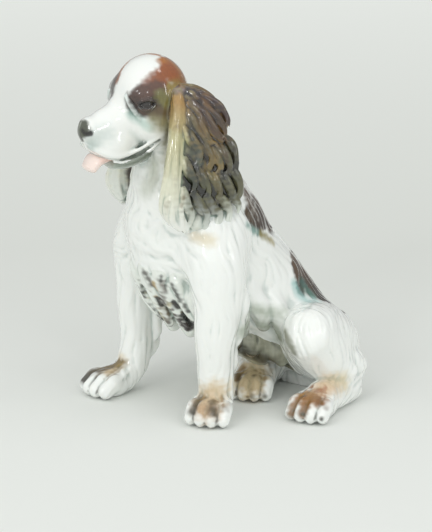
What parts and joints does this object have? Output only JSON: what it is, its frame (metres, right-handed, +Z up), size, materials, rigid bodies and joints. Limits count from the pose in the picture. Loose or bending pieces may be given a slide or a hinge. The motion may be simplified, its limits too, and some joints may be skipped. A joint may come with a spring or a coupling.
{
  "type": "porcelain dog figurine",
  "caption": "Glazed porcelain figurine of a sitting spaniel with long feathered ears, painted in brown, ochre and olive over white.",
  "frame": {"origin": "on the table that the figure sits on, under the middle of its bounding box", "axes": "+X towards the dog's left side, -Y the way the dog faces, +Z up"},
  "size_m": [0.1608, 0.2154, 0.235],
  "materials": {
    "torso": "gloss glaze",
    "head": "gloss glaze",
    "lower_jaw": "gloss glaze",
    "tongue": "gloss glaze",
    "ear_left": "gloss glaze",
    "ear_right": "gloss glaze",
    "foreleg_left": "gloss glaze",
    "foreleg_right": "gloss glaze",
    "hind_leg_left": "gloss glaze",
    "hind_leg_right": "gloss glaze",
    "tail": "gloss glaze",
    "chest_feathering": "gloss glaze",
    "belly_feathering": "gloss glaze"
  },
  "bodies": {
    "root": {"torso": "torso", "head": "head", "lower_jaw": "lower_jaw", "tongue": "tongue", "ear_left": "ear_left", "ear_right": "ear_right", "foreleg_left": "foreleg_left", "foreleg_right": "foreleg_right", "hind_leg_left": "hind_leg_left", "hind_leg_right": "hind_leg_right", "tail": "tail", "chest_feathering": "chest_feathering", "belly_feathering": "belly_feathering"}
  },
  "joints": []
}
